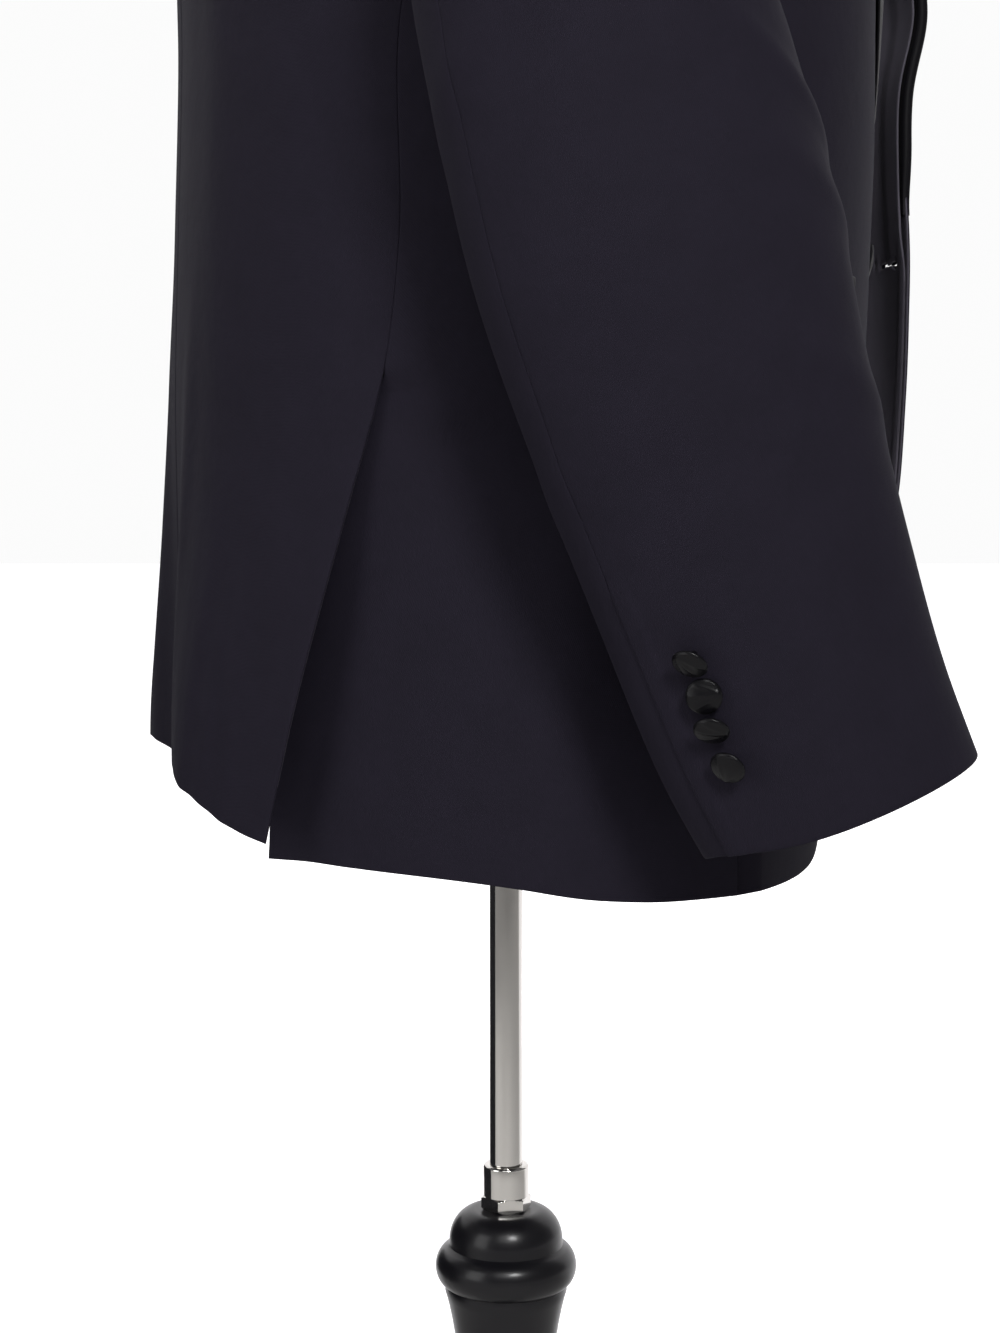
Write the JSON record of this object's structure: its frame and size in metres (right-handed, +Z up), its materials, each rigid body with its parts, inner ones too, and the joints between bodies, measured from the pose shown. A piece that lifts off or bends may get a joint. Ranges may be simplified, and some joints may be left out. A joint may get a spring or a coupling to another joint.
{
  "type": "tuxedo jacket on dress form",
  "caption": "Men's tuxedo jacket with satin shawl lapel and side vents, hung open on a limbless dress form with a turned tripod stand.",
  "frame": {"origin": "on the floor, under the rod that the dress form stands on, midway between the outermost points", "axes": "+Z up along the rod; -Y the way the jacket's front faces; -X the wearer's right, +X the wearer's left"},
  "size_m": [0.638, 0.5098, 1.5463],
  "materials": {
    "wool": "fine black worsted, matt",
    "satin": "black satin",
    "form_cloth": "smooth black jersey",
    "black_wood": "black lacquer",
    "chrome": "polished"
  },
  "bodies": {
    "root": {"back_left": "wool", "back_right": "wool", "side_left": "wool", "side_right": "wool", "front_left": "wool", "front_right": "wool", "facing_left": "satin", "facing_right": "satin", "top_sleeve_left": "wool", "top_sleeve_right": "wool", "under_sleeve_left": "wool", "under_sleeve_right": "wool", "lapel_left": "satin", "lapel_right": "satin", "collar_stand": "wool", "jet_upper_left": "satin", "jet_lower_left": "satin", "jet_upper_right": "satin", "jet_lower_right": "satin", "breast_welt": "wool", "front_button": "satin", "cuff_button_left_1": "satin", "cuff_button_left_2": "satin", "cuff_button_left_3": "satin", "cuff_button_left_4": "satin", "cuff_button_right_1": "satin", "cuff_button_right_2": "satin", "cuff_button_right_3": "satin", "cuff_button_right_4": "satin", "form_torso": "form_cloth", "neck_cap": "black_wood", "rod": "chrome", "rod_socket": "chrome", "lock_nut": "chrome", "column": "black_wood", "leg_1": "black_wood", "leg_2": "black_wood", "leg_3": "black_wood"}
  },
  "joints": []
}
